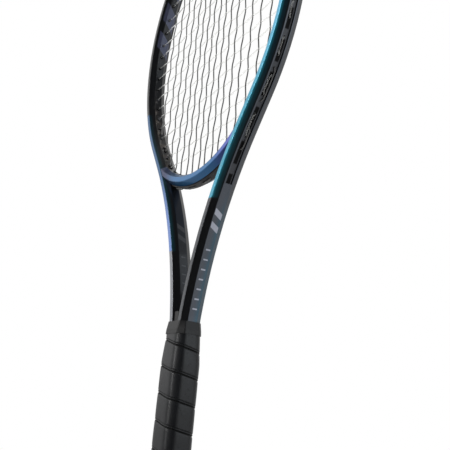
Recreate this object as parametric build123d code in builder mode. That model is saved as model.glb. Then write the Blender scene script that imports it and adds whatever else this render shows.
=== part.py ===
"""Tennis racket, upright, in millimetres.

The origin is the centre of the butt face. +Z runs up the handle to the tip, X runs across
the string bed and the front of the racket faces -Y.
"""

import math
import os

from build123d import *

os.makedirs("parts", exist_ok=True)

# ------------------------------------------------------------------ driving dimensions
# Outline of the frame's centreline, right half
overall_length = 685.8  # butt face to bumper guard, 27 in
widest_height = 511.6  # where the hoop is widest
hoop_half_width = 132.1
tip_radius = 112.7
lower_hoop_radius = 222.0
shoulder_angle = 34.26  # slope of the straight shoulder against the handle axis, degrees
shoulder_run = 34.1
arm_radius = 412.2
shaft_bend_radius = 120.0
shaft_spacing = 6.8  # centreline of each shaft from the handle axis
shaft_foot = 16.0  # where the shafts end inside the handle

# Section of the tube: n points out of the hoop, y is the depth of the beam
tube_width = 12.2
beam_depth = 21.1
crown_width = 4.9  # flat of the front and rear faces
wall_flat = 9.1  # flat of the inner and outer walls
edge_radius = 1.3
wall_thickness = 1.7
channel_width = 7.0  # string channel in the outer wall
channel_depth = 2.6
channel_foot = 312.0  # height where the channel runs out on the arms

# Throat bridge
bridge_radius = 105.0  # inner face
bridge_foot = 334.9  # lowest point of the inner face
bridge_depth = 20.2
bridge_end_angle = 39.0

# Strings
string_diameter = 1.3
string_peak = 0.67  # distance of a string's centre from the middle plane at a crossing
string_corner = 0.93  # the same before the corners are rounded
main_count = 16
main_pitch = 11.283
main_spread = 0.031
cross_count = 20
cross_middle = 498.8
cross_pitch = 14.91
cross_spread = 0.0097
cross_lean = 0.11

# Grommets and bumper guard
hole_diameter = 3.3
barrel_diameter = 3.2
barrel_bore = 2.0
barrel_stand = 1.0  # how far a barrel stands out of the inner wall
bend_stand = 2.1  # where a string leaves the bed for its barrel
bend_slack = 0.5  # a bend farther in than this belongs to the bridge's end
barrel_reach = 45.0  # how far round the hoop a slanted barrel may come out
strip_thickness = 0.9
strip_width = 6.7
bumper_foot = 598.0
bumper_thickness = 1.1

# Handle
pallet_width = 31.4
pallet_depth = 24.6
pallet_foot = 3.2
pallet_taper_start = 150.0
pallet_top = 184.0
grip_thickness = 1.8
grip_foot = 12.0
grip_top = 180.0
collar_foot = 176.0
collar_top = 187.5
web_top = 196.5  # moulded web between the arms
butt_width = 39.8
butt_depth = 33.4

# ------------------------------------------------------------------ outline geometry
half_tube = tube_width / 2
tip_height = overall_length - bumper_thickness - half_tube
slope = math.radians(shoulder_angle)
rise = tip_height - widest_height
side_radius = (hoop_half_width**2 + (rise - tip_radius) ** 2 - tip_radius**2) / (
    2 * (hoop_half_width - tip_radius)
)
side_angle = math.atan2(rise - tip_radius, side_radius - hoop_half_width)
bridge_centre = bridge_foot + bridge_radius

# Arcs and runs of the right half from the tip down: (radius, turn), where a radius of 0 is a
# straight run and a positive turn bends to the right of someone who walks down the tube.
low_x = hoop_half_width - lower_hoop_radius * (1 - math.cos(slope))
low_z = widest_height - lower_hoop_radius * math.sin(slope)
arm_x = low_x - shoulder_run * math.sin(slope) + arm_radius * math.cos(slope)
arm_z = low_z - shoulder_run * math.cos(slope) - arm_radius * math.sin(slope)
bend_angle = math.acos(1 - (shaft_spacing - arm_x + arm_radius) / (arm_radius - shaft_bend_radius))
shaft_end = arm_z + (arm_radius - shaft_bend_radius) * math.sin(bend_angle)
stretches = [
    (tip_radius, math.pi / 2 - side_angle),
    (side_radius, side_angle),
    (lower_hoop_radius, slope),
    (0, shoulder_run),
    (-arm_radius, slope - bend_angle),
    (-shaft_bend_radius, bend_angle),
    (0, shaft_end - shaft_foot),
]


def on_hoop(s, n=0.0):
    """Point (x, z) at arc length s from the tip down the right half, n outside the centreline."""
    x, z, heading = 0.0, tip_height, 0.0
    for radius, turn in stretches:
        length = turn if radius == 0 else abs(radius) * turn
        step = min(s, length)
        s -= step
        if radius == 0:
            x += step * math.cos(heading)
            z -= step * math.sin(heading)
        else:
            after = heading + step / radius
            x += radius * (math.sin(after) - math.sin(heading))
            z += radius * (math.cos(after) - math.cos(heading))
            heading = after
        if s <= 0:
            break
    return x + n * math.sin(heading), z + n * math.cos(heading)


def on_bridge(s, n=0.0):
    """Point at arc length s from the middle of the bridge's inner face, n below that face."""
    angle = s / bridge_radius
    reach = bridge_radius + n
    return reach * math.sin(angle), bridge_centre - reach * math.cos(angle)


def solve(function, low, high):
    """Root of a function that changes sign once between low and high."""
    sign = math.copysign(1, function(low))
    for _ in range(60):
        middle = (low + high) / 2
        if function(middle) * sign > 0:
            low = middle
        else:
            high = middle
    return (low + high) / 2


widest_length = sum(abs(radius) * turn for radius, turn in stretches[:2])
shoulder_end = widest_length + lower_hoop_radius * slope + shoulder_run
arm_end = shoulder_end + arm_radius * (slope - bend_angle)
frame_length = arm_end + shaft_bend_radius * bend_angle + shaft_end - shaft_foot
channel_length = solve(lambda s: on_hoop(s)[1] - channel_foot, shoulder_end, arm_end)


def unit(x, z):
    size = math.hypot(x, z)
    return x / size, z / size


def hoop_normal(s):
    (x0, z0), (x1, z1) = on_hoop(s), on_hoop(s, 1)
    return x1 - x0, z1 - z0


# ------------------------------------------------------------------ string pattern
main_xs = [
    main_pitch * m + main_spread * m**3 for m in (k + 0.5 for k in range(main_count // 2))
]
cross_zs = [
    cross_middle + cross_pitch * m + cross_spread * m**3 + cross_lean * m**2
    for m in (k - (cross_count - 1) / 2 for k in range(cross_count))
]
bend_inset = half_tube + bend_stand  # bend points lie on this offset of the centreline
bridge_strings = 4  # mains on each side that end in the bridge


def barrel(bend, direction):
    """A grommet hole on the right half: its bend point, direction and outer end."""
    def miss(s):
        x, z = on_hoop(s, half_tube - channel_depth)
        return (x - bend[0]) * direction[1] - (z - bend[1]) * direction[0]
    near = solve(lambda s: on_hoop(s)[1] - bend[1], 0, arm_end)
    outer = solve(miss, max(0, near - barrel_reach), min(near + barrel_reach, arm_end))
    return {"bend": bend, "direction": direction, "outer": outer}


def top_hole(x):
    s = solve(lambda s: on_hoop(s, -bend_inset)[0] - x, 0, widest_length)
    return barrel(on_hoop(s, -bend_inset), hoop_normal(s))


def side_hole(bend):
    """Hole that starts at a bend point on the lower part of the hoop or on the bridge's end."""
    s = solve(lambda s: on_hoop(s, -bend_inset)[1] - bend[1], 0, arm_end)
    normal = hoop_normal(s)
    if on_hoop(s, -bend_inset)[0] > bend[0] + bend_slack:
        across = unit(bend[0], bend[1] - bridge_centre)
        normal = unit(normal[0] + across[0], normal[1] + across[1])
    return barrel(bend, normal)


def bridge_height(x):
    return bridge_centre - math.sqrt((bridge_radius - bend_stand) ** 2 - x**2)


def main_foot(x):
    s = solve(lambda s: on_hoop(s, -bend_inset)[0] - x, widest_length, arm_end)
    return x, max(on_hoop(s, -bend_inset)[1], bridge_height(x))


def cross_end(z):
    s = solve(lambda s: on_hoop(s, -bend_inset)[1] - z, 0, arm_end)
    x = on_hoop(s, -bend_inset)[0]
    drop = bridge_centre - z
    reach = bridge_radius - bend_stand
    if 0 < drop < reach and z < low_z:
        x = min(x, math.sqrt(reach**2 - drop**2))
    return x, z


top_holes = [top_hole(x) for x in main_xs]
foot_holes = [side_hole(main_foot(x)) for x in main_xs[bridge_strings:]]
cross_holes = [side_hole(cross_end(z)) for z in cross_zs]
bridge_turns = [math.asin(x / (bridge_radius - bend_stand)) for x in main_xs[:bridge_strings]]
hoop_holes = top_holes + foot_holes + cross_holes

# ------------------------------------------------------------------ frame
def finish(piece, name):
    piece.label = name
    export_step(piece, f"parts/{name}.step")


def corner_points(inset=0.0, depth=beam_depth):
    """Corners of the tube's section, moved inward by inset, from the inner front corner on."""
    n1, n2 = crown_width / 2, half_tube
    y1, y2 = depth / 2, wall_flat / 2
    bevel = math.hypot(n2 - n1, y1 - y2)
    crown = n1 - inset * (bevel - (n2 - n1)) / (y1 - y2)
    wall = y2 - inset * (bevel - (y1 - y2)) / (n2 - n1)
    n, y = n2 - inset, y1 - inset
    return [(-crown, -y), (crown, -y), (n, -wall), (n, wall),
            (crown, y), (-crown, y), (-n, wall), (-n, -wall)]


def rounded_polygon(points, radius):
    """Sketch of a closed polygon with every corner rounded."""
    with BuildSketch() as sketch:
        with BuildLine():
            Polyline(*points, close=True)
        make_face()
        fillet(sketch.vertices(), radius)
    return sketch.sketch


def along_hoop(start, end):
    """Centreline wire from arc length start on the right round the tip to end on the left."""
    turns = []
    for side in (1, -1):
        left = start if side == 1 else end
        half = []
        for radius, turn in stretches:
            length = turn if radius == 0 else abs(radius) * turn
            used = min(length, left)
            if used > 0:
                half.append((radius, used))
            left -= used
        turns.append(half)
    with BuildLine(Plane.XZ) as line:
        x, z = on_hoop(start)
        nx, nz = hoop_normal(start)
        point, tangent = (x, z), (-nz, nx)
        for radius, used in turns[0][::-1] + turns[1]:
            if radius == 0:
                end_point = (point[0] + used * tangent[0], point[1] + used * tangent[1])
                Line(point, end_point)
            else:
                turn = used / radius
                JernArc(point, tangent, abs(radius), math.degrees(turn))
                c, t = math.cos(turn), math.sin(turn)
                side_x, side_z = -tangent[1] * radius, tangent[0] * radius
                end_point = (
                    point[0] + tangent[0] * radius * t + side_x * (1 - c),
                    point[1] + tangent[1] * radius * t + side_z * (1 - c),
                )
                tangent = (tangent[0] * c - tangent[1] * t, tangent[0] * t + tangent[1] * c)
            point = end_point
    return line.line


def hoop_plane(start):
    """Plane square to the right half of the frame at arc length start, x out of the hoop."""
    x, z = on_hoop(start)
    nx, nz = hoop_normal(start)
    return Plane(origin=(x, 0, z), x_dir=(nx, 0, nz), z_dir=(-nz, 0, nx))


whole_frame = along_hoop(frame_length, frame_length)
frame_foot = hoop_plane(frame_length)
channel_path = along_hoop(channel_length, channel_length)
channel_floor = half_tube - channel_depth

with BuildPart() as frame_envelope:
    with BuildSketch(frame_foot):
        add(rounded_polygon(corner_points(), edge_radius))
    sweep(path=whole_frame)


def drill_planes(holes, offset=0.0):
    """Planes along the axes of the hoop's holes, both halves, offset along each axis."""
    planes = []
    for hole in holes:
        (x, z), (dx, dz) = hole["bend"], hole["direction"]
        for side in (1, -1):
            spot = (side * (x + offset * dx), 0, z + offset * dz)
            planes.append(Plane(origin=spot, z_dir=(side * dx, 0, dz)))
    return planes


def bridge_planes(offset=0.0):
    """The same for the holes through the bridge, offset from its inner face."""
    planes = []
    for turn in bridge_turns:
        x, z = on_bridge(turn * bridge_radius, offset)
        for side in (1, -1):
            direction = (side * math.sin(turn), 0, -math.cos(turn))
            planes.append(Plane(origin=(side * x, 0, z), z_dir=direction))
    return planes


def hole_length(hole):
    x, z = on_hoop(hole["outer"], channel_floor)
    return math.hypot(x - hole["bend"][0], z - hole["bend"][1])


from_base = (Align.CENTER, Align.CENTER, Align.MIN)
drill_depth = 34.0
cavity_points = corner_points(wall_thickness)
cavity_front = channel_floor - wall_thickness
shaft_cavity = [(cavity_front if n > 0 else n, y) for n, y in cavity_points]

with BuildPart() as frame_hairpin:
    add(frame_envelope.part)
    with BuildSketch(frame_foot):
        with BuildLine():
            Polyline(*shaft_cavity, close=True)
        make_face()
    sweep(path=whole_frame, mode=Mode.SUBTRACT)
    with BuildSketch(hoop_plane(channel_length)):
        with Locations((half_tube, 0)):
            Rectangle(2 * channel_depth, channel_width)
    sweep(path=channel_path, mode=Mode.SUBTRACT)
    with Locations(*drill_planes(hoop_holes)):
        Cylinder(hole_diameter / 2, drill_depth, align=from_base, mode=Mode.SUBTRACT)
finish(frame_hairpin.part, "frame_hairpin")

bridge_middle = bridge_radius + half_tube
bridge_points = [(n + bridge_middle, y) for n, y in corner_points(0, bridge_depth)]
hollow_points = [(n + bridge_middle, y) for n, y in corner_points(wall_thickness, bridge_depth)]
bridge_axis = Axis((0, 0, bridge_centre), (0, 1, 0))
bridge_hollow_angle = 30.0
string_reach = bridge_radius + tube_width


def bridge_section(angle):
    """Plane through the bridge's axis at an angle from the lowest point, x outward."""
    turn = math.radians(angle)
    outward = (math.sin(turn), 0, -math.cos(turn))
    return Plane(origin=(0, 0, bridge_centre), x_dir=outward, z_dir=(outward[2], 0, -outward[0]))


def revolved_bridge(points, radius, half_angle):
    """Ring sector of a closed section, spread equally to both sides of the middle."""
    with BuildPart() as ring:
        with BuildSketch(bridge_section(half_angle)):
            add(rounded_polygon(points, radius))
        revolve(axis=bridge_axis, revolution_arc=2 * half_angle)
    return ring.part


with BuildPart() as throat_bridge:
    add(revolved_bridge(bridge_points, edge_radius, bridge_end_angle))
    add(revolved_bridge(hollow_points, edge_radius / 2, bridge_hollow_angle), mode=Mode.SUBTRACT)
    add(frame_envelope.part, mode=Mode.SUBTRACT)
    with Locations(*bridge_planes(-1)):
        Cylinder(hole_diameter / 2, tube_width + 3, align=from_base, mode=Mode.SUBTRACT)
    with Locations(*drill_planes(foot_holes[:2] + cross_holes[:2])):
        Cylinder(hole_diameter / 2, drill_depth, align=from_base, mode=Mode.SUBTRACT)
finish(throat_bridge.part, "throat_bridge")


# ------------------------------------------------------------------ grommets and bumper guard
strip_top = channel_floor + strip_thickness
hoop_box = 2 * overall_length  # larger than the whole racket
strip_gap = 0.4  # between the side strips and the bumper guard


def barrel_rods(radius, extra):
    """Rods along all hoop holes, from the barrels' inner tips to extra past the strip's middle."""
    rods = []
    for hole in hoop_holes:
        length = hole_length(hole) - bend_stand + barrel_stand + strip_thickness / 2 + 2 * extra
        for plane in drill_planes([hole], bend_stand - barrel_stand - extra):
            rods.append(plane * Solid.make_cylinder(radius, length))
    return rods


barrel_walls = barrel_rods(barrel_diameter / 2, 0)
barrel_bores = barrel_rods(barrel_bore / 2, 1)


def outer_wall_ring(section):
    """Ring of a section along the whole channel, with all its barrels bored through."""
    with BuildPart() as ring:
        with BuildSketch(hoop_plane(channel_length)):
            with BuildLine():
                Polyline(*section, close=True)
            make_face()
        sweep(path=channel_path)
        add(barrel_walls)
        add(barrel_bores, mode=Mode.SUBTRACT)
    return ring.part


half_strip = strip_width / 2
strip_section = [(channel_floor, -half_strip), (strip_top, -half_strip),
                 (strip_top, half_strip), (channel_floor, half_strip)]
whole_strip = outer_wall_ring(strip_section)

for side, name in ((1, "side_grommet_strip_right"), (-1, "side_grommet_strip_left")):
    with BuildPart() as side_strip:
        add(whole_strip)
        with Locations((side * hoop_box / 2, 0, bumper_foot - strip_gap - hoop_box / 2)):
            Box(hoop_box, hoop_box, hoop_box, mode=Mode.INTERSECT)
    finish(side_strip.part, name)

# The bumper guard lies in the channel and folds over the outer wall and both outer bevels.
bevel_run = half_tube - crown_width / 2
bevel_rise = (beam_depth - wall_flat) / 2
bevel_length = math.hypot(bevel_run, bevel_rise)
skin = 0.02  # clearance to the frame
wing = 0.8  # share of the bevel that the guard covers
wing_n = half_tube - wing * bevel_run + skin
wing_y = wall_flat / 2 + wing * bevel_rise + skin
out_n, out_y = bevel_rise / bevel_length, bevel_run / bevel_length
guard_top = half_tube + bumper_thickness
guard_corner = wall_flat / 2 + bumper_thickness * (bevel_length - bevel_rise) / bevel_run
string_slot = 2.4
guard_half = [
    (strip_top, string_slot),
    (guard_top, string_slot),
    (guard_top, guard_corner),
    (wing_n + bumper_thickness * out_n, wing_y + bumper_thickness * out_y),
    (wing_n, wing_y),
    (half_tube + skin, wall_flat / 2 + skin),
    (half_tube + skin, half_strip),
    (channel_floor, half_strip),
]
guard_section = guard_half + [(n, -y) for n, y in reversed(guard_half)]

with BuildPart() as bumper_guard:
    add(outer_wall_ring(guard_section))
    with Locations((0, 0, bumper_foot + hoop_box / 2)):
        Box(hoop_box, hoop_box, hoop_box, mode=Mode.INTERSECT)
finish(bumper_guard.part, "bumper_guard")

throat_strip_width = 7.6
throat_strip_angle = 25.0
with BuildPart() as throat_grommet_strip:
    with BuildSketch(bridge_section(throat_strip_angle)):
        with Locations((string_reach + strip_thickness / 2, 0)):
            Rectangle(strip_thickness, throat_strip_width)
    revolve(axis=bridge_axis, revolution_arc=2 * throat_strip_angle)
    with Locations(*bridge_planes(-barrel_stand)):
        Cylinder(barrel_diameter / 2, barrel_stand + tube_width + strip_thickness / 2, align=from_base)
    with Locations(*bridge_planes(-bend_stand)):
        Cylinder(barrel_bore / 2, drill_depth / 2, align=from_base, mode=Mode.SUBTRACT)
finish(throat_grommet_strip.part, "throat_grommet_strip")


# ------------------------------------------------------------------ strings
string_radius = string_diameter / 2
loop_lift = 0.42  # a loop's straight runs stand off the strip under them
loop_depth = strip_top + string_radius + loop_lift  # offset of the loops outside the hoop
loop_shift = string_radius + 0.7  # main and cross loops pass on either side of the middle
bridge_loop_depth = tube_width + strip_thickness + string_radius + loop_lift
loop_lead = 2.6
loop_step = 12.0
bend_corner = 1.4


def corner_radius(before, corner, after):
    """Largest fillet that fits, or the one that brings a woven corner down to its peak."""
    run_in, run_out = Vector(corner) - Vector(before), Vector(after) - Vector(corner)
    turn = math.radians(run_in.get_angle(run_out))
    room = 0.45 * min(run_in.length, run_out.length) / math.tan(turn / 2)
    if corner[1] and before[1] * corner[1] <= 0 and after[1] * corner[1] <= 0:
        return min(room, (string_corner - string_peak) / (1 / math.cos(turn / 2) - 1))
    return min(room, bend_corner if turn > math.radians(20) else 30 * string_diameter)


def string_tube(points):
    """Round string along straight runs and fitted arcs."""
    radii = [corner_radius(*points[i - 1:i + 2]) for i in range(1, len(points) - 1)]
    with BuildPart() as tube:
        with BuildLine() as route:
            FilletPolyline(*points, radius=radii)
        with BuildSketch(Plane(origin=route.line @ 0, z_dir=route.line % 0)):
            Circle(string_radius)
        sweep()
    return tube.part.solid()


def mid_hole(hole, side=1):
    (x, z), (dx, dz) = hole["bend"], hole["direction"]
    half = hole_length(hole) / 2
    return side * (x + half * dx), 0, z + half * dz


def hole_mouth(hole, side=1):
    """Where the string turns into the channel."""
    (x, z), (dx, dz) = hole["bend"], hole["direction"]
    run = hole_length(hole) + loop_depth - channel_floor
    return side * (x + run * dx), 0, z + run * dz


def bridge_point(index, depth, side=1):
    x, z = on_bridge(bridge_turns[index] * bridge_radius, depth)
    return side * x, 0, z


def channel_point(s, y):
    """Point of a loop in the channel, at arc length s, negative on the left half."""
    x, z = on_hoop(abs(s), loop_depth)
    return math.copysign(x, s), y, z


def channel_run(start, end, y):
    """Points of a loop between two arc lengths, a lead in from each hole."""
    lead = math.copysign(loop_lead, end - start)
    low, high = start + lead, end - lead
    steps = max(1, round(abs(high - low) / loop_step))
    return [channel_point(low + (high - low) * k / steps, y) for k in range(steps + 1)]


def hoop_loop(first, second, y, sides=(1, 1)):
    """Loop outside the hoop from one hole to another."""
    start, end = sides[0] * first["outer"], sides[1] * second["outer"]
    return [mid_hole(first, sides[0]), hole_mouth(first, sides[0]), *channel_run(start, end, y),
            hole_mouth(second, sides[1]), mid_hole(second, sides[1])]


def tail(hole, y, side, toward):
    """Tied-off end of a string: out of its hole and a short way along the channel."""
    start = side * hole["outer"]
    run = [channel_point(start + side * toward * d, y) for d in (loop_lead, 3 * loop_lead)]
    return [mid_hole(hole, side), hole_mouth(hole, side), *run]


def weave(column, row):
    """Side of the middle plane on which a main passes a cross, -1 in front."""
    return 1 if (column + row) % 2 else -1


def main_route(index, side):
    """Woven main string on one half, from its upper hole to its lower one."""
    x, top = main_xs[index], top_holes[index]
    column = index if side == 1 else -1 - index
    if index < bridge_strings:
        foot = [bridge_point(index, -bend_stand, side), bridge_point(index, tube_width / 2, side)]
    else:
        hole = foot_holes[index - bridge_strings]
        foot = [(side * hole["bend"][0], 0, hole["bend"][1]), mid_hole(hole, side)]
    rows = [row for row in range(cross_count) if cross_holes[row]["bend"][0] > x + 1.5]
    woven = [(side * x, weave(column, row) * string_corner, cross_zs[row]) for row in rows]
    head = [mid_hole(top, side), (side * top["bend"][0], 0, top["bend"][1])]
    return head + woven[::-1] + foot


def cross_route(row):
    """Woven cross string from its left hole to its right one."""
    hole = cross_holes[row]
    reach = hole["bend"][0]
    columns = [k for k in range(main_count // 2) if main_xs[k] < reach - 1.5]
    woven = [(main_xs[k], -weave(k, row) * string_corner, cross_zs[row]) for k in columns]
    mirrored = [(-main_xs[k], -weave(-1 - k, row) * string_corner, cross_zs[row]) for k in columns]
    return [mid_hole(hole, -1), (-reach, 0, hole["bend"][1]), *mirrored[::-1], *woven,
            (reach, 0, hole["bend"][1]), mid_hole(hole, 1)]


main_routes = [main_route(k, side) for k in range(main_count // 2) for side in (1, -1)]
main_routes.append(hoop_loop(top_holes[0], top_holes[0], loop_shift, (1, -1)))
for side in (1, -1):
    for k in (1, 3, 5):
        main_routes.append(
            hoop_loop(top_holes[k], top_holes[k + 1], loop_shift, (side, side)))
    for k in (0, 2):
        corners = [bridge_turns[k + j] * bridge_radius for j in (0, 1)]
        middle = on_bridge(sum(corners) / 2, bridge_loop_depth)
        main_routes.append([
            bridge_point(k, tube_width / 2, side), bridge_point(k, bridge_loop_depth, side),
            (side * middle[0], 0, middle[1]),
            bridge_point(k + 1, bridge_loop_depth, side), bridge_point(k + 1, tube_width / 2, side)])
    for k in (0, 2):
        main_routes.append(hoop_loop(foot_holes[k], foot_holes[k + 1], loop_shift, (side, side)))
    main_routes.append(tail(top_holes[-1], loop_shift, side, 1))

cross_routes = [cross_route(row) for row in range(cross_count)]
for row in range(cross_count - 1):
    side = 1 if row % 2 == 0 else -1
    cross_routes.append(
        hoop_loop(cross_holes[row], cross_holes[row + 1], -loop_shift, (side, side)))
cross_routes.append(tail(cross_holes[0], -loop_shift, -1, -1))
cross_routes.append(tail(cross_holes[-1], -loop_shift, -1, 1))

finish(Compound(children=[string_tube(route) for route in main_routes]), "main_strings")
finish(Compound(children=[string_tube(route) for route in cross_routes]), "cross_strings")


# ------------------------------------------------------------------ handle
# An octagon has a side flat and a crown flat, each a share of its depth and width.
side_share = 0.6
crown_share = 0.6
hugging_share = 0.7  # where the section closes in on the two shafts
skirt_thickness = 1.2
skirt_top = 28.0
butt_edge = 4.0  # height of the butt's widest rim
butt_neck = 12.0  # height where the flare meets the wrap
shaft_pack_width = 2 * (shaft_spacing + half_tube)  # both shafts side by side


def octagon(width, depth, share=crown_share, radius=1.0):
    """Handle section with its wide faces toward the front and rear."""
    x1, x2 = share * width / 2, width / 2
    y1, y2 = side_share * depth / 2, depth / 2
    return rounded_polygon([(-x1, -y2), (x1, -y2), (x2, -y1), (x2, y1),
                            (x1, y2), (-x1, y2), (-x2, y1), (-x2, -y1)], radius)


def octagon_stack(levels, radius=1.0):
    """Solid lofted through handle sections given as (height, width, depth, crown share)."""
    with BuildPart() as stack:
        for low, high in zip(levels, levels[1:]):
            for z, *size in (low, high):
                with BuildSketch(Plane.XY.offset(z)):
                    add(octagon(*size, radius=radius))
            loft()
    return stack.part


foam_skin = 0.6  # foam left over the shafts at the pallets' top
pallet_levels = [
    (pallet_foot, pallet_width, pallet_depth),
    (pallet_taper_start, pallet_width, pallet_depth),
    (pallet_top, shaft_pack_width + 2 * foam_skin, beam_depth + foam_skin, hugging_share),
]
skirt_width = pallet_width + 2 * skirt_thickness
skirt_depth = pallet_depth + 2 * skirt_thickness
grip_width = pallet_width + 2 * grip_thickness
grip_depth = pallet_depth + 2 * grip_thickness
staple_wire = 0.9
staple_span = 9.0
staple_leg = 2.4
staple_height = 20.0

with BuildPart() as staples:
    for face in (1, -1):
        y = face * (skirt_depth / 2 + staple_wire / 2)
        with Locations((0, y, staple_height)):
            Box(staple_span, staple_wire, staple_wire)
        for x in (-1, 1):
            with Locations((x * (staple_span - staple_wire) / 2, y - face * staple_leg / 2,
                            staple_height)):
                Box(staple_wire, staple_leg + staple_wire, staple_wire)

tack_height = 20.0
tack_head_radius = 2.6
tack_head = 0.6
tack_shank_radius = 0.7
tack_length = 4.3
tack_plane = Plane(origin=(skirt_width / 2 + grip_thickness, 0, tack_height), x_dir=(0, 1, 0),
                   z_dir=(-1, 0, 0))
with BuildPart() as grip_tack:
    with BuildSketch(tack_plane):
        Circle(tack_head_radius)
    extrude(amount=tack_head)
    with BuildSketch(tack_plane):
        Circle(tack_shank_radius)
    extrude(amount=tack_length)
finish(grip_tack.part, "grip_tack")

with BuildPart() as pallets:
    add(octagon_stack(pallet_levels))
    add(frame_envelope.part, mode=Mode.SUBTRACT)
    with Locations((0, 0, pallet_foot)):
        Box(shaft_pack_width - 2 * wall_thickness, beam_depth - 2 * wall_thickness,
            2 * (shaft_foot - pallet_foot), mode=Mode.SUBTRACT)
    add(staples.part, mode=Mode.SUBTRACT)
    add(grip_tack.part, mode=Mode.SUBTRACT)

for side, name in ((-1, "handle_pallet_front"), (1, "handle_pallet_rear")):
    with BuildPart() as pallet:
        add(pallets.part)
        with Locations((0, side * hoop_box / 2, 0)):
            Box(hoop_box, hoop_box, hoop_box, mode=Mode.INTERSECT)
    finish(pallet.part, name)

# Foam plugs close the open ends of the two shafts
plug_length = 22.0
with BuildPart() as shaft_end_plugs:
    for x in (-shaft_spacing, shaft_spacing):
        mirrored = [(n * (1 if x > 0 else -1), y) for n, y in shaft_cavity]
        with BuildSketch(Plane(origin=(x, 0, shaft_foot))):
            add(rounded_polygon(mirrored, edge_radius / 4))
        extrude(amount=plug_length)
finish(shaft_end_plugs.part, "shaft_end_plugs")

door_width, door_depth, door_thickness = 20.0, 14.0, 1.4
door_recess = 0.5
door_gap = 0.3
door_clearance = 0.1
door_corner = 3.0
door_rounding = 0.4
prong_height = 5.0
prong_thickness = 1.2
tongue_width = 7.0
opening_width, opening_depth, opening_corner = 16.0, 10.0, 2.0

butt_rounding = 1.6
butt_chamfer = 0.8
flare = 1.4  # how far the flare still stands out halfway up
butt_levels = [
    (0, butt_width - 2 * butt_chamfer, butt_depth - 2 * butt_chamfer),
    (1.5 * butt_chamfer, butt_width, butt_depth),
    (butt_edge, butt_width, butt_depth),
    ((butt_edge + butt_neck) / 2, skirt_width + 2 * flare, skirt_depth + 2 * flare),
    (butt_neck, skirt_width, skirt_depth),
    (skirt_top, skirt_width, skirt_depth),
]

with BuildPart() as butt_cap:
    add(octagon_stack(butt_levels, butt_rounding))
    with BuildSketch(Plane.XY.offset(pallet_foot)):
        add(octagon(pallet_width, pallet_depth))
    extrude(amount=skirt_top, mode=Mode.SUBTRACT)
    with BuildSketch(Plane.XY):
        RectangleRounded(door_width + 2 * door_gap, door_depth + 2 * door_gap, door_corner + door_gap)
    extrude(amount=door_recess + door_thickness + door_clearance, mode=Mode.SUBTRACT)
    with BuildSketch(Plane.XY):
        RectangleRounded(opening_width, opening_depth, opening_corner)
    extrude(amount=2 * pallet_foot, mode=Mode.SUBTRACT)
    add(staples.part, mode=Mode.SUBTRACT)
    add(grip_tack.part, mode=Mode.SUBTRACT)
finish(butt_cap.part, "butt_cap")
finish(staples.part, "butt_cap_staples")

with BuildPart() as butt_cap_door:
    with BuildSketch(Plane.XY.offset(door_recess)):
        RectangleRounded(door_width, door_depth, door_corner)
    extrude(amount=door_thickness)
    for side in (1, -1):
        x = side * (opening_width / 2 - door_gap - prong_thickness / 2)
        with Locations((x, 0, door_recess + door_thickness + prong_height / 2)):
            Box(prong_thickness, tongue_width, prong_height)
    fillet(butt_cap_door.faces().sort_by(Axis.Z)[0].edges(), door_rounding)
finish(butt_cap_door.part, "butt_cap_door")

grip_rounding = 2.0
grip_step = 4.0  # height over which the wrap comes down off the cap's skirt
grip_narrowing = 4.8  # how much the wrap closes in toward its top, across and in depth
grip_thinning = 3.8
grip_top_share = 0.62
grip_levels = [
    (grip_foot, skirt_width + 2 * grip_thickness, skirt_depth + 2 * grip_thickness),
    (skirt_top, skirt_width + 2 * grip_thickness, skirt_depth + 2 * grip_thickness),
    (skirt_top + grip_step, grip_width, grip_depth),
    (pallet_taper_start, grip_width, grip_depth),
    (grip_top, grip_width - grip_narrowing, grip_depth - grip_thinning, grip_top_share),
]
grip_body = octagon_stack(grip_levels, grip_rounding)
pallet_body = octagon_stack(pallet_levels)
cap_skirt = octagon_stack(butt_levels[-2:], butt_rounding)

with BuildPart() as base_grip:
    add(grip_body)
    add([pallet_body, cap_skirt, frame_envelope.part], mode=Mode.SUBTRACT)
    add([staples.part, grip_tack.part], mode=Mode.SUBTRACT)
finish(base_grip.part, "base_grip")

# The tape that ends the wrap lies under the rubber collar
tape_thickness = 0.25
tape_foot = 177.3
tape_top = 179.6


def over_grip(z, thickness):
    """Section that stands a thickness outside the wrap, where the wrap tapers."""
    share = (z - pallet_taper_start) / (grip_top - pallet_taper_start)
    width = grip_width - grip_narrowing * share + 2 * thickness
    depth = grip_depth - grip_thinning * share + 2 * thickness
    return z, width, depth, crown_share + (grip_top_share - crown_share) * share


tape_levels = [over_grip(tape_foot, tape_thickness), over_grip(tape_top, tape_thickness)]
tape_body = octagon_stack(tape_levels, grip_rounding)

with BuildPart() as finishing_tape:
    add(tape_body)
    add(grip_body, mode=Mode.SUBTRACT)
finish(finishing_tape.part, "finishing_tape")

collar_thickness = 0.6
collar_top_share = 0.74
collar_lip = 1.2  # how far the collar stands out of the shafts at its top
web_width, web_depth = 6.4, 18.4
collar_levels = [
    over_grip(collar_foot, collar_thickness),
    over_grip(grip_top, collar_thickness),
    (collar_top, shaft_pack_width + 2 * collar_lip, beam_depth + collar_lip, collar_top_share),
]

with BuildPart() as grip_collar:
    add(octagon_stack(collar_levels, grip_rounding))
    with Locations((0, 0, (collar_foot + web_top) / 2)):
        Box(web_width, web_depth, web_top - collar_foot)
    add([grip_body, pallet_body, tape_body, frame_envelope.part], mode=Mode.SUBTRACT)
finish(grip_collar.part, "grip_collar")

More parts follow.
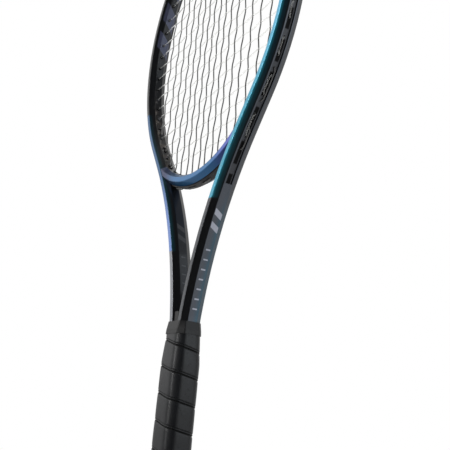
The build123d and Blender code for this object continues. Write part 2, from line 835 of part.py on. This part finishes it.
# ------------------------------------------------------------------ knots
# Each tied-off string is knotted round a neighbour, on its straight run beside the frame.
knot_turns = 3
knot_pitch = 1.15
knot_start = 2.2
knot_bore = 0.05
knots = []
for route in (main_route(6, 1), main_route(6, -1), cross_route(1), cross_route(18)):
    bend, run = Vector(route[1]), (Vector(route[2]) - Vector(route[1])).normalized()
    with BuildPart() as knot:
        for turn in range(knot_turns):
            spot = bend + run * (knot_start + turn * knot_pitch)
            with Locations(Plane(origin=spot, z_dir=run)):
                Torus(string_diameter + knot_bore, string_radius)
    knots.append(knot.part.solid())
finish(Compound(children=knots), "string_knots")
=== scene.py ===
import math

import bmesh
import bpy
from mathutils import Matrix, Vector


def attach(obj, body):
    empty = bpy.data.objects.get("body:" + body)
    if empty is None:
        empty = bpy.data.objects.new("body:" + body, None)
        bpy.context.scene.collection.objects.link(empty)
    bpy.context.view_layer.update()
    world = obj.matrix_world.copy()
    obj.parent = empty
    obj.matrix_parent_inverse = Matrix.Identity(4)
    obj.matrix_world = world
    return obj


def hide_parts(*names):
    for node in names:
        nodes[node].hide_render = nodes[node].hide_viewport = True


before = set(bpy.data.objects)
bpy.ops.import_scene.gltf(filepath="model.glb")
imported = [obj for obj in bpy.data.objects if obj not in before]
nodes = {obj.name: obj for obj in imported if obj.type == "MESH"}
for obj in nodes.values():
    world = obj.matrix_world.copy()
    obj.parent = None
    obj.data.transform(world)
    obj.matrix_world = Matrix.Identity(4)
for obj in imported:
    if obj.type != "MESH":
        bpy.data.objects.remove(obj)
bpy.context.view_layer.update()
scene = bpy.context.scene

# ------------------------------------------------------------------ material helpers


class Graph:
    """A node material that is put together from short expressions."""

    def __init__(self, name):
        self.material = bpy.data.materials.new(name)
        self.material.use_nodes = True
        self.tree = self.material.node_tree
        self.tree.nodes.clear()
        self.out = self.tree.nodes.new("ShaderNodeOutputMaterial")
        where = self.tree.nodes.new("ShaderNodeTexCoord")
        self.place = where.outputs["Object"]
        split = self.node("ShaderNodeSeparateXYZ", Vector=self.place)
        self.x, self.y, self.z = (split.outputs[axis] for axis in "XYZ")
        shape = self.tree.nodes.new("ShaderNodeNewGeometry")
        facing = self.tree.nodes.new("ShaderNodeVectorTransform")
        facing.vector_type = "NORMAL"
        facing.convert_from = "WORLD"
        facing.convert_to = "OBJECT"
        self.tree.links.new(shape.outputs["Normal"], facing.inputs[0])
        turned = self.node("ShaderNodeSeparateXYZ", Vector=facing.outputs[0])
        self.nx, self.ny, self.nz = (turned.outputs[axis] for axis in "XYZ")

    def node(self, kind, **values):
        made = self.tree.nodes.new(kind)
        for name, value in values.items():
            self.put(made, name.replace("_", " "), value)
        return made

    def put(self, made, name, value):
        socket = made.inputs[name]
        if isinstance(value, bpy.types.NodeSocket):
            self.tree.links.new(value, socket)
        elif socket.type == "RGBA" and len(value) == 3:
            socket.default_value = (*value, 1)
        else:
            socket.default_value = value

    def math(self, operation, *values):
        made = self.tree.nodes.new("ShaderNodeMath")
        made.operation = operation
        for socket, value in zip(made.inputs, values):
            if isinstance(value, bpy.types.NodeSocket):
                self.tree.links.new(value, socket)
            else:
                socket.default_value = value
        return made.outputs[0]

    def ramp(self, value, low, high):
        """0 below low and 1 above high, or the other way round if low is above high."""
        made = self.tree.nodes.new("ShaderNodeMapRange")
        made.interpolation_type = "SMOOTHSTEP"
        self.tree.links.new(value, made.inputs["Value"])
        made.inputs["From Min"].default_value = min(low, high)
        made.inputs["From Max"].default_value = max(low, high)
        made.inputs["To Min"].default_value = 0 if low < high else 1
        made.inputs["To Max"].default_value = 1 if low < high else 0
        return made.outputs["Result"]

    def opposite(self, value):
        return self.math("SUBTRACT", 1, value)

    def both(self, *values):
        """Product of masks: 1 where all of them are 1."""
        result = values[0]
        for value in values[1:]:
            result = self.math("MULTIPLY", result, value)
        return result

    def either(self, *values):
        """Largest of several masks."""
        result = values[0]
        for value in values[1:]:
            result = self.math("MAXIMUM", result, value)
        return result

    def blend(self, share, under, over):
        """Colour that goes from under to over as the share goes from 0 to 1."""
        made = self.tree.nodes.new("ShaderNodeMix")
        made.data_type = "RGBA"
        for index, value in ((0, share), (6, under), (7, over)):
            socket = made.inputs[index]
            if isinstance(value, bpy.types.NodeSocket):
                self.tree.links.new(value, socket)
            elif index:
                socket.default_value = (*value, 1)
            else:
                socket.default_value = value
        return made.outputs[2]

    def number(self, share, under, over):
        """The same as blend, for numbers."""
        made = self.tree.nodes.new("ShaderNodeMix")
        made.data_type = "FLOAT"
        for index, value in ((0, share), (2, under), (3, over)):
            if isinstance(value, bpy.types.NodeSocket):
                self.tree.links.new(value, made.inputs[index])
            else:
                made.inputs[index].default_value = value
        return made.outputs[0]

    def noise(self, scale, detail):
        made = self.node("ShaderNodeTexNoise", Vector=self.place, Scale=scale, Detail=detail)
        return made.outputs["Fac"]

    def cells(self, scale):
        """Distance from the middle of the nearest of many small cells."""
        made = self.node("ShaderNodeTexVoronoi", Vector=self.place, Scale=scale)
        return made.outputs["Distance"]

    def bump(self, height, distance, strength, normal=None):
        made = self.node("ShaderNodeBump", Height=height, Distance=distance, Strength=strength)
        if normal:
            self.tree.links.new(normal, made.inputs["Normal"])
        return made.outputs["Normal"]

    def finish(self, **values):
        """The material, with a principled shader that has these values."""
        shader = self.tree.nodes.new("ShaderNodeBsdfPrincipled")
        for name, value in values.items():
            self.put(shader, name.replace("_", " "), value)
        self.tree.links.new(shader.outputs[0], self.out.inputs["Surface"])
        return self.material


def screen(red, green, blue):
    """Linear colour of a value between 0 and 255 on the screen."""
    shares = (value / 255 for value in (red, green, blue))
    return tuple(share / 12.92 if share < 0.04045 else ((share + 0.055) / 1.055) ** 2.4
                 for share in shares)


# ------------------------------------------------------------------ sizes of the wrapped grip
# Heights, half sizes and the octagon follow the CAD wrap that this one stands for. All in metres.
grip_foot = 0.012
skirt_top = 0.028  # the wrap flares over the butt cap below this height
taper_foot = 0.150
grip_top = 0.180
butt_half = (0.0187, 0.0153)
grip_half = (0.0175, 0.0141)
top_half = (0.0151, 0.0122)
face_share, side_share = 0.62, 0.60  # flat part of the octagon's wide and narrow faces
corner_power = 15  # how sharp the octagon's corners are
wrap_pitch = 0.0232
wrap_phase = 0.0112
seam_half = 0.0006
second_line = 0.0020  # how far above the seam the stitched line runs
wrap_rise = 0.00022  # how far the middle of a turn swells
seam_drop, second_drop = 0.0008, 0.0004
end_round = 0.0006  # the relief fades out this close to the wrap's ends
end_inset = 0.0015
same_place = 0.00002

# ------------------------------------------------------------------ paint of the frame
# A pair is where a mask begins and where it is full: a height, a depth from the middle plane,
# or a slope, which is 1 on a face that looks straight forward or back.
paint_foot_right = 0.297  # the right arm is bare below this height
paint_foot_left = 0.257
blue_top_left = 0.437  # the left side of the hoop turns black above this height
paint_edge, fine_paint_edge = 0.0015, 0.0010  # width over which one paint gives way to the next
crown_slope, crown_depth = (0.80, 0.93), (0.0088, 0.0096)
bevel_slope, wall_slope = (0.35, 0.5), (0.5, 0.3)
toward_plus, toward_minus = (-0.001, 0.001), (0.001, -0.001)  # across the middle
rear_tint_depth = (-0.002, 0.007)
throat_heights = (0.325, 0.335)  # the inner walls below are the throat's, above the hoop's
arm_heights = (0.31, 0.27)  # the arms' bluish tint grows downward here
navy_heights = (0.262, 0.300)
painted_reflection_heights = (0.47, 0.42)
teal_heights, cyan_painted_highlight_heights, violet_heights = (0.34, 0.44), (0.36, 0.50), (0.28, 0.36)
painted_highlight_depth, teal_depth, navy_depth = (0.0080, 0.0105), (0.0045, 0.0075), (0.0062, 0.0102)
print_edge, print_end, sharp_end = 0.0003, 0.0002, 0.0001  # soft edges of the printed marks
block_foot, block_top, block_pitch = 0.527, 0.630, 0.0345
block_lean, block_share, block_depth = 0.9, (0.62, 0.60), (0.0078, 0.0076)
bar_heights, bar_half, bar_lean, bar_depth = (0.2715, 0.2830), 0.0028, 0.5, (0.0042, 0.0040)
tick_foot, tick_top, tick_pitch = 0.198, 0.257, 0.0088
tick_share, tick_depth = (0.17, 0.13), (0.0024, 0.0022)

# ------------------------------------------------------------------ string recesses in the strips
slot_foot, slot_pitch, slot_share, slot_end = 0.326, 0.0270, 0.74, 0.05
slot_half, lip_inside, lip_edge = 0.0021, 0.0031, 0.0002


def flaked(g, colour):
    """A paint's colour with fine metallic flakes in it."""
    tone = g.math("MULTIPLY", g.ramp(g.cells(5200), 0.0, 0.7), 0.25)
    return g.blend(tone, colour, screen(20, 24, 32))


def beat_of(g, along, foot, pitch):
    """Share of a repeat that has passed at a place along the object."""
    return g.math("FRACT", g.math("DIVIDE", g.math("SUBTRACT", along, foot), pitch))


def painted_graphite():
    """Flaked paint in zones, by side, height, slope and depth, with plain printed marks."""
    g = Graph("painted_graphite")
    right = g.ramp(g.x, *toward_plus)
    left = g.ramp(g.x, *toward_minus)
    depth = g.math("ABSOLUTE", g.y)
    slope = g.math("ABSOLUTE", g.ny)
    crown = g.both(g.ramp(slope, *crown_slope), g.ramp(depth, *crown_depth))
    wall = g.ramp(slope, *wall_slope)
    bevel = g.both(g.ramp(slope, *bevel_slope), g.opposite(crown))
    outward = g.math("MULTIPLY", g.nx, g.math("SIGN", g.x))
    inward = g.ramp(outward, 0.15, -0.15)
    front = g.ramp(g.y, *toward_minus)

    black = screen(12, 13, 15)
    violet = screen(120, 152, 218)
    blue = screen(28, 92, 142)
    painted_highlight_teal = screen(28, 136, 158)
    deep_teal = g.blend(g.ramp(g.z, *teal_heights), screen(2, 62, 72), screen(1, 42, 54))
    # The right crown's cyan is the paint; its brightening toward the top of the hoop is a painted
    # highlight.
    cyan = g.blend(g.ramp(g.z, *cyan_painted_highlight_heights), screen(84, 176, 204), screen(122, 206, 244))
    block = screen(76, 80, 104)
    mark, faint_mark = screen(206, 210, 224), screen(84, 86, 90)

    painted_right = g.both(right, g.ramp(g.z, paint_foot_right - paint_edge, paint_foot_right))
    painted_left = g.both(left, g.ramp(g.z, paint_foot_left - fine_paint_edge, paint_foot_left))
    hoop_left = g.both(left, g.ramp(g.z, blue_top_left - paint_edge, blue_top_left))
    bare = g.opposite(g.either(painted_right, painted_left))

    # Walls: slate outside, and inside grey in the throat and, up the hoop, black with patches of
    # painted bronze reflection that give way to plain black higher up
    painted_bronze_reflection = g.blend(g.ramp(g.noise(70, 3), 0.44, 0.62), screen(11, 10, 10), screen(66, 56, 48))
    hoop_slate = g.blend(g.ramp(g.z, *painted_reflection_heights), screen(20, 21, 24), painted_bronze_reflection)
    above_throat = g.ramp(g.z, *throat_heights)
    inner_slate = g.blend(above_throat, screen(50, 52, 56), hoop_slate)
    navy_wall = g.both(left, g.ramp(g.z, *navy_heights), g.opposite(above_throat))
    inner_slate = g.blend(navy_wall, inner_slate, screen(10, 26, 44))
    slate = g.blend(inward, screen(98, 103, 112), inner_slate)
    tint = g.both(g.opposite(inward), g.ramp(g.y, *rear_tint_depth), g.ramp(g.z, *arm_heights))
    slate = g.blend(tint, slate, screen(70, 112, 132))
    colour = g.blend(wall, black, slate)
    rear_edge = g.both(g.ramp(g.ny, *bevel_slope), g.opposite(inward))
    rear_tone = g.blend(g.ramp(g.z, *arm_heights), screen(48, 52, 60), screen(46, 74, 90))
    colour = g.blend(rear_edge, colour, rear_tone)

    # Crowns and bevels
    # The bare crowns below the paint are black paint; their grey, lighter on the right than on the
    # left, is a painted highlight.
    rim = g.blend(right, screen(146, 148, 154), screen(80, 82, 86))
    colour = g.blend(g.both(crown, bare), colour, rim)
    colour = g.blend(g.both(painted_right, crown), colour, cyan)
    colour = g.blend(g.both(painted_left, crown), colour,
                     g.blend(g.ramp(g.z, *violet_heights), violet, blue))
    # On the right arm's front bevels the teal is a paint tint fading to black away from the crown;
    # the lighter teal band next to the crown is a painted highlight.
    teal = g.blend(g.ramp(depth, *painted_highlight_depth), deep_teal, painted_highlight_teal)
    teal = g.blend(g.ramp(depth, *teal_depth), black, teal)
    colour = g.blend(g.both(painted_right, bevel, front), colour, teal)
    navy = g.blend(g.ramp(depth, *navy_depth), black, deep_teal)
    left_bevel = g.blend(inward, blue, navy)
    colour = g.blend(g.both(painted_left, bevel, front), colour, left_bevel)
    colour = g.blend(hoop_left, colour, g.blend(wall, black, slate))
    colour = g.blend(g.both(hoop_left, bevel), colour, black)

    # Plain slanted blocks inside the hoop, and a pair of bars and a row of ticks down the arm
    slanted = g.math("ADD", g.z, g.math("MULTIPLY", g.y, block_lean))
    beat = beat_of(g, slanted, block_foot, block_pitch)
    blocks = g.both(left, inward, g.ramp(beat, *block_share), g.ramp(depth, *block_depth),
                    g.ramp(slanted, block_foot - print_end, block_foot),
                    g.ramp(slanted, block_top + print_end, block_top))
    colour = g.blend(blocks, colour, block)
    lean = g.math("ADD", g.z, g.math("MULTIPLY", g.y, bar_lean))
    bars = g.either(*(g.ramp(g.math("ABSOLUTE", g.math("SUBTRACT", lean, spot)),
                             bar_half, bar_half - print_edge) for spot in bar_heights))
    bars = g.both(bars, g.ramp(depth, *bar_depth))
    tick = beat_of(g, g.z, tick_foot, tick_pitch)
    ticks = g.both(g.ramp(tick, *tick_share), g.ramp(depth, *tick_depth),
                   g.ramp(g.z, tick_foot - sharp_end, tick_foot),
                   g.ramp(g.z, tick_top, tick_top - sharp_end))
    motif = g.either(bars, ticks)
    colour = g.blend(g.both(motif, right, g.opposite(inward), wall), colour, mark)
    colour = g.blend(g.both(motif, left, inward, wall), colour, faint_mark)

    colour = g.blend(g.math("MULTIPLY", g.noise(900, 3), 0.14), colour, black)
    colour = flaked(g, colour)
    metal = g.number(crown, g.number(bevel, 0.55, 0.15), 0.9)
    rough = g.number(wall, 0.34, 0.46)
    normal = g.bump(g.noise(60, 2), 0.0002, 0.25)
    return g.finish(Base_Color=colour, Metallic=metal, Roughness=rough, Normal=normal,
                    Coat_Weight=0.3, Coat_Roughness=0.06)


def bridge_paint():
    """Blue on the front and rear, violet toward the right end and navy toward the left."""
    g = Graph("bridge_paint")
    near_end, at_end = 0.030, 0.060
    front = g.ramp(g.math("ABSOLUTE", g.ny), 0.35, 0.6)
    colour = g.blend(front, screen(10, 11, 13), screen(56, 118, 172))
    colour = g.blend(g.both(front, g.ramp(g.x, near_end, at_end)), colour, screen(100, 114, 200))
    colour = g.blend(g.both(front, g.ramp(g.x, -near_end, -at_end)), colour, screen(30, 44, 92))
    colour = flaked(g, colour)
    normal = g.bump(g.noise(60, 2), 0.0002, 0.25)
    return g.finish(Base_Color=colour, Metallic=g.number(front, 0.2, 0.85), Roughness=0.36,
                    Normal=normal, Coat_Weight=0.3, Coat_Roughness=0.06)


def black_nylon(name, low, high, slotted):
    """Moulded grommet plastic; on the side strips its long string recesses are painted near black
    and the edges along the channel's lips darker, both painted shade.
    """
    g = Graph(name)
    grain = g.noise(2600, 4)
    colour = g.blend(grain, screen(*low), screen(*high))
    rough = g.number(grain, 0.42, 0.6)
    if slotted:
        depth = g.math("ABSOLUTE", g.y)
        beat = beat_of(g, g.z, slot_foot, slot_pitch)
        ends = g.ramp(g.math("ABSOLUTE", g.math("SUBTRACT", beat, slot_share / 2)),
                      slot_share / 2, slot_share / 2 - slot_end)
        slots = g.both(ends, g.ramp(depth, slot_half, slot_half - print_edge))
        lips = g.ramp(depth, lip_inside, lip_inside + lip_edge)
        # The darker lips and near-black slots are painted shade in the channel's gap and in the
        # string recesses.
        colour = g.blend(lips, colour, screen(12, 12, 14))
        colour = g.blend(slots, colour, screen(3, 3, 4))
        rough = g.number(slots, rough, 0.95)
    normal = g.bump(grain, 0.00012, 0.5)
    return g.finish(Base_Color=colour, Roughness=rough, Normal=normal)


def dark_string():
    g = Graph("string_gut_dark")
    colour = g.blend(g.noise(700, 2), screen(66, 66, 68), screen(116, 115, 112))
    normal = g.bump(g.noise(3800, 2), 0.00008, 0.4)
    return g.finish(Base_Color=colour, Roughness=0.38, Normal=normal, Coat_Weight=0.3,
                    Coat_Roughness=0.2)


def clear_string():
    g = Graph("string_gut_clear")
    colour = g.blend(g.noise(700, 2), screen(246, 246, 243), screen(254, 254, 253))
    normal = g.bump(g.noise(3800, 2), 0.00004, 0.3)
    return g.finish(Base_Color=colour, Roughness=0.25, Normal=normal, IOR=1.15,
                    Transmission_Weight=0.9)


def pallet_foam():
    g = Graph("pallet_foam")
    colour = g.blend(g.noise(300, 3), screen(196, 188, 166), screen(214, 208, 188))
    normal = g.bump(g.cells(1400), 0.0004, 0.6)
    return g.finish(Base_Color=colour, Roughness=0.85, Normal=normal)


def plug_foam():
    g = Graph("plug_foam")
    colour = g.blend(g.noise(600, 3), screen(120, 120, 118), screen(150, 150, 146))
    normal = g.bump(g.cells(1800), 0.0004, 0.6)
    return g.finish(Base_Color=colour, Roughness=0.9, Normal=normal)


def butt_plastic():
    g = Graph("butt_plastic")
    grain = g.noise(2000, 4)
    colour = g.blend(grain, screen(18, 18, 20), screen(40, 40, 43))
    normal = g.bump(grain, 0.00015, 0.5)
    return g.finish(Base_Color=colour, Roughness=g.number(grain, 0.36, 0.5), Normal=normal)


def staple_steel():
    g = Graph("staple_steel")
    grain = g.noise(3000, 2)
    colour = g.blend(grain, screen(170, 170, 172), screen(204, 204, 206))
    return g.finish(Base_Color=colour, Metallic=1.0, Roughness=g.number(grain, 0.25, 0.4))


def collar_rubber():
    g = Graph("collar_rubber")
    grain = g.noise(2400, 4)
    colour = g.blend(grain, screen(10, 10, 11), screen(24, 24, 26))
    normal = g.bump(grain, 0.0001, 0.5)
    return g.finish(Base_Color=colour, Roughness=g.number(grain, 0.42, 0.56), Normal=normal)


def tape():
    g = Graph("tape")
    grain = g.noise(1800, 3)
    colour = g.blend(grain, screen(20, 20, 22), screen(32, 32, 34))
    return g.finish(Base_Color=colour, Roughness=g.number(grain, 0.3, 0.5),
                    Normal=g.bump(grain, 0.00008, 0.4))


def grip_leather():
    """Dark smooth wrap with a fine grain, small pin holes and grooves along its turns; holes and
    grooves are darkened with painted shade.
    """
    g = Graph("grip_wrap")
    line_outer, line_inner = 1.6, 0.4
    grain = g.noise(1500, 4)
    folds = g.noise(90, 3)
    colour = g.blend(g.math("MULTIPLY", folds, 0.6), screen(15, 16, 19), screen(31, 33, 37))
    climb = g.math("DIVIDE", g.math("SUBTRACT", g.z, grip_foot + wrap_phase), wrap_pitch)
    round_share = g.math("DIVIDE", g.math("ARCTAN2", g.y, g.x), math.tau)
    part = g.math("FRACT", g.math("ADD", g.math("ADD", climb, round_share), 1.0))
    seam_reach = seam_half / wrap_pitch
    edge = g.either(g.ramp(part, line_outer * seam_reach, line_inner * seam_reach),
                    g.ramp(part, 1 - line_outer * seam_reach, 1 - line_inner * seam_reach))
    away = g.math("ABSOLUTE", g.math("SUBTRACT", part, second_line / wrap_pitch))
    edge = g.either(edge, g.math("MULTIPLY", g.ramp(away, seam_reach, 0.3 * seam_reach), 0.7))
    # The seam grooves and the line above them are painted near black: painted shade.
    colour = g.blend(edge, colour, screen(3, 3, 4))
    pins = g.ramp(g.cells(260), 0.10, 0.17)
    # The pin holes are painted darker: painted shade.
    colour = g.blend(pins, screen(14, 14, 15), colour)
    height = g.math("ADD", g.math("MULTIPLY", grain, 0.5), g.math("MULTIPLY", pins, 0.9))
    normal = g.bump(height, 0.00018, 0.6)
    normal = g.bump(folds, 0.0006, 0.35, normal)
    rough = g.number(edge, g.number(grain, 0.32, 0.44), 0.8)
    return g.finish(Base_Color=colour, Roughness=rough, Normal=normal, Specular_IOR_Level=0.42)


# ------------------------------------------------------------------ looks of the CAD pieces
looks = {
    "frame_hairpin": painted_graphite(),
    "throat_bridge": bridge_paint(),
    "main_strings": dark_string(),
    "cross_strings": clear_string(),
    "butt_cap": butt_plastic(),
    "butt_cap_staples": staple_steel(),
    "handle_pallet_front": pallet_foam(),
    "shaft_end_plugs": plug_foam(),
    "grip_collar": collar_rubber(),
    "finishing_tape": tape(),
    "bumper_guard": black_nylon("black_nylon", (14, 14, 15), (34, 34, 37), False),
    "side_grommet_strip_right": black_nylon("grey_nylon", (54, 56, 61), (78, 80, 86), True),
    "base_grip": grip_leather(),
}
shared = {  # pieces that look like another piece
    "side_grommet_strip_left": "side_grommet_strip_right",
    "throat_grommet_strip": "bumper_guard",
    "string_knots": "main_strings",
    "handle_pallet_rear": "handle_pallet_front",
    "butt_cap_door": "butt_cap",
    "grip_tack": "butt_cap_staples",
}
for name, node in nodes.items():
    node.data.materials.clear()
    node.data.materials.append(looks[shared.get(name, name)])
    for face in node.data.polygons:
        face.material_index = 0


# ------------------------------------------------------------------ wrapped grip
def between(z, low, high):
    """Smooth step from 0 at low to 1 at high."""
    share = min(1, max(0, (z - low) / (high - low)))
    return share * share * (3 - 2 * share)


def grip_radius(angle, z):
    """Distance from the axis to the wrap's mean surface in one direction."""
    flare = 1 - between(z, skirt_top - 0.001, skirt_top + 0.004)
    taper = min(1, max(0, (z - taper_foot) / (grip_top - taper_foot)))
    half = [grip + (butt - grip) * flare + (top - grip) * taper
            for grip, butt, top in zip(grip_half, butt_half, top_half)]
    x_in, y_in = half[0] * face_share, half[1] * side_share
    run = math.hypot(half[1] - y_in, half[0] - x_in)
    slant = math.atan2(half[0] - x_in, half[1] - y_in)
    slant_far = (x_in * (half[1] - y_in) + half[1] * (half[0] - x_in)) / run
    faces = [(0, half[0]), (math.pi / 2, half[1]), (slant, slant_far), (math.pi - slant, slant_far)]
    total = 0
    for turn, far in faces:
        for way in (turn, turn + math.pi):
            total += max(0, math.cos(angle - way) / far) ** corner_power
    return total ** (-1 / corner_power)


def wrap_relief(part):
    """Height of one turn of the wrap over its mean surface, from its lower to its upper edge."""
    reach = min(part, 1 - part) * wrap_pitch
    seam = math.exp(-(reach / seam_half) ** 2)
    second = math.exp(-((part * wrap_pitch - second_line) / (0.7 * seam_half)) ** 2)
    swell = wrap_rise * math.sin(math.pi * part) ** 0.5
    return swell - seam_drop * seam - second_drop * second


around = 176
# Shares of a turn that have a row of points: close by the seam and its second line, wide between
marks = [0.006 * i for i in range(25)]
marks += [0.144 + 0.80 * (i + 1) / 11 for i in range(11)]
marks += [0.955, 0.966, 0.976, 0.984, 0.992]
turns = int((grip_top - grip_foot) / wrap_pitch) + 3
points, quads = [], []
for turn in range(-1, turns):
    for mark in marks:
        for i in range(around):
            angle = math.tau * i / around
            z = grip_foot + wrap_phase + wrap_pitch * (turn + mark - i / around)
            z = min(grip_top, max(grip_foot, z))
            edge = min(1, (grip_top - z) / end_round, (z - grip_foot) / end_round)
            far = grip_radius(angle, z) + wrap_relief(mark) * edge
            points.append((far * math.cos(angle), far * math.sin(angle), z))
rows = len(marks)
for row in range((turns + 1) * rows - 1):
    for i in range(around):
        a, b = row * around + i, (row + 1) * around + i
        if i < around - 1:
            quads.append((a, a + 1, b + 1, b))
        elif row >= rows:  # a turn ends where the one below it began
            step = rows * around + i
            quads.append((a, a - step, b - step, b))
grip_mesh = bpy.data.meshes.new("grip_wrap")
grip_mesh.from_pydata(points, [], quads)
shape = bmesh.new()
shape.from_mesh(grip_mesh)
bmesh.ops.remove_doubles(shape, verts=shape.verts, dist=same_place)
bmesh.ops.dissolve_degenerate(shape, dist=same_place, edges=shape.edges)
flat = [f for f in shape.faces
        if max(v.co.z for v in f.verts) - min(v.co.z for v in f.verts) < same_place]
bmesh.ops.delete(shape, geom=flat, context="FACES")
loose = [v for v in shape.verts if not v.link_faces]
bmesh.ops.delete(shape, geom=loose, context="VERTS")
# The wrap's ends turn in under the collar and over the butt cap
for end in (grip_top, grip_foot):
    ring = [e for e in shape.edges if len(e.link_faces) == 1
            and all(abs(v.co.z - end) < 5 * same_place for v in e.verts)]
    made = bmesh.ops.extrude_edge_only(shape, edges=ring)["geom"]
    for v in made:
        if isinstance(v, bmesh.types.BMVert):
            away = math.hypot(v.co.x, v.co.y)
            v.co.x -= v.co.x / away * end_inset
            v.co.y -= v.co.y / away * end_inset
bmesh.ops.recalc_face_normals(shape, faces=shape.faces)
shape.to_mesh(grip_mesh)
shape.free()
grip_mesh.shade_smooth()
grip_mesh.materials.append(looks["base_grip"])
grip_wrap = bpy.data.objects.new("grip_wrap", grip_mesh)
scene.collection.objects.link(grip_wrap)
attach(grip_wrap, "racket_frame")
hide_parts("base_grip")

# ------------------------------------------------------------------ studio
floor_reach, floor_sides = 0.80, 64
middle = Vector((0, 0, 0.30))  # the middle of what the camera sees, which the lights aim at


def softbox(name, spot, width, height, strength, colour=(1, 1, 1)):
    lamp = bpy.data.lights.new(name, "AREA")
    lamp.shape = "RECTANGLE"
    lamp.size, lamp.size_y = width, height
    lamp.energy = strength
    lamp.color = colour
    made = bpy.data.objects.new(name, lamp)
    made.location = spot
    made.rotation_mode = "QUATERNION"
    made.rotation_quaternion = (middle - Vector(spot)).to_track_quat("-Z", "Y")
    scene.collection.objects.link(made)
    return made


def spot_toward(direction, distance):
    return middle + Vector(direction).normalized() * distance


softbox("key_softbox", spot_toward((-0.78, -0.48, 0.36), 1.5), 1.0, 1.5, 3.0)
softbox("strip_softbox", spot_toward((-0.12, -0.93, 0.30), 1.5), 0.26, 1.5, 12.0)
softbox("fill_softbox", spot_toward((0.86, 0.40, 0.32), 1.6), 1.0, 1.5, 5.8, (0.86, 0.94, 1.0))
top = softbox("top_softbox", (0, 0, 1.9), 1.6, 1.6, 12.0)
top.visible_glossy = False

floor_mesh = bpy.data.meshes.new("floor")
rim = [Vector((floor_reach * math.cos(a), floor_reach * math.sin(a), 0))
       for a in (math.tau * i / floor_sides for i in range(floor_sides))]
floor_mesh.from_pydata(rim, [], [tuple(range(floor_sides))])
floor = bpy.data.objects.new("floor", floor_mesh)
scene.collection.objects.link(floor)
pale = Graph("pale_floor")
floor_mesh.materials.append(pale.finish(
    Base_Color=pale.blend(pale.noise(3, 2), screen(236, 236, 236), screen(240, 240, 240)),
    Roughness=0.9))
floor.visible_glossy = False

# The camera, and rays through the clear strings, see white; all else sees the studio's glow
world = bpy.data.worlds.new("studio")
scene.world = world
world.use_nodes = True
sky = world.node_tree
sky.nodes.clear()
sky_out = sky.nodes.new("ShaderNodeOutputWorld")
seen = sky.nodes.new("ShaderNodeBackground")
seen.inputs["Color"].default_value = (1, 1, 1, 1)
lit = sky.nodes.new("ShaderNodeBackground")
path = sky.nodes.new("ShaderNodeLightPath")
choose = sky.nodes.new("ShaderNodeMixShader")
through = sky.nodes.new("ShaderNodeMath")
through.operation = "MAXIMUM"
sky.links.new(path.outputs["Is Camera Ray"], through.inputs[0])
sky.links.new(path.outputs["Is Transmission Ray"], through.inputs[1])
sky.links.new(through.outputs[0], choose.inputs[0])
sky.links.new(lit.outputs[0], choose.inputs[1])
sky.links.new(seen.outputs[0], choose.inputs[2])
sky.links.new(choose.outputs[0], sky_out.inputs[0])

way = sky.nodes.new("ShaderNodeTexCoord")


def glow(toward, low, high, dark, bright):
    """Brightness of the studio that rises toward one direction."""
    dot = sky.nodes.new("ShaderNodeVectorMath")
    dot.operation = "DOT_PRODUCT"
    sky.links.new(way.outputs["Generated"], dot.inputs[0])
    dot.inputs[1].default_value = toward
    spread = sky.nodes.new("ShaderNodeMapRange")
    spread.interpolation_type = "SMOOTHSTEP"
    sky.links.new(dot.outputs["Value"], spread.inputs["Value"])
    spread.inputs["From Min"].default_value = low
    spread.inputs["From Max"].default_value = high
    spread.inputs["To Min"].default_value = dark
    spread.inputs["To Max"].default_value = bright
    return spread.outputs["Result"]


# The studio is bright behind the object and low on its right, and dark on the camera's side
brighter = sky.nodes.new("ShaderNodeMath")
brighter.operation = "MAXIMUM"
sky.links.new(glow((-0.84, 0.54, 0.0), -0.35, 0.35, 0.05, 0.60), brighter.inputs[0])
sky.links.new(glow((0.82, 0.52, -0.25), 0.60, 0.86, 0.0, 0.55), brighter.inputs[1])
sky.links.new(brighter.outputs[0], lit.inputs["Color"])

# ------------------------------------------------------------------ camera
# Place, direction and lens were solved from the photograph's perspective
camera_place = (0.49651, -0.28320, 0.11374)
look = Vector((-0.80779, 0.51585, 0.28525)).normalized()
side = Vector((0.55796, 0.82522, 0.08774))
side = (side - look * side.dot(look)).normalized()
upward = side.cross(look)
camera_data = bpy.data.cameras.new("camera")
camera_data.sensor_width = 36
camera_data.lens = 49.785
camera_data.clip_start = 0.01
camera_data.clip_end = 50
camera = bpy.data.objects.new("camera", camera_data)
turned = Matrix((side, upward, -look)).transposed().to_4x4()
camera.matrix_world = Matrix.Translation(camera_place) @ turned
scene.collection.objects.link(camera)
scene.camera = camera
scene.view_settings.view_transform = "Standard"
scene.view_settings.look = "None"
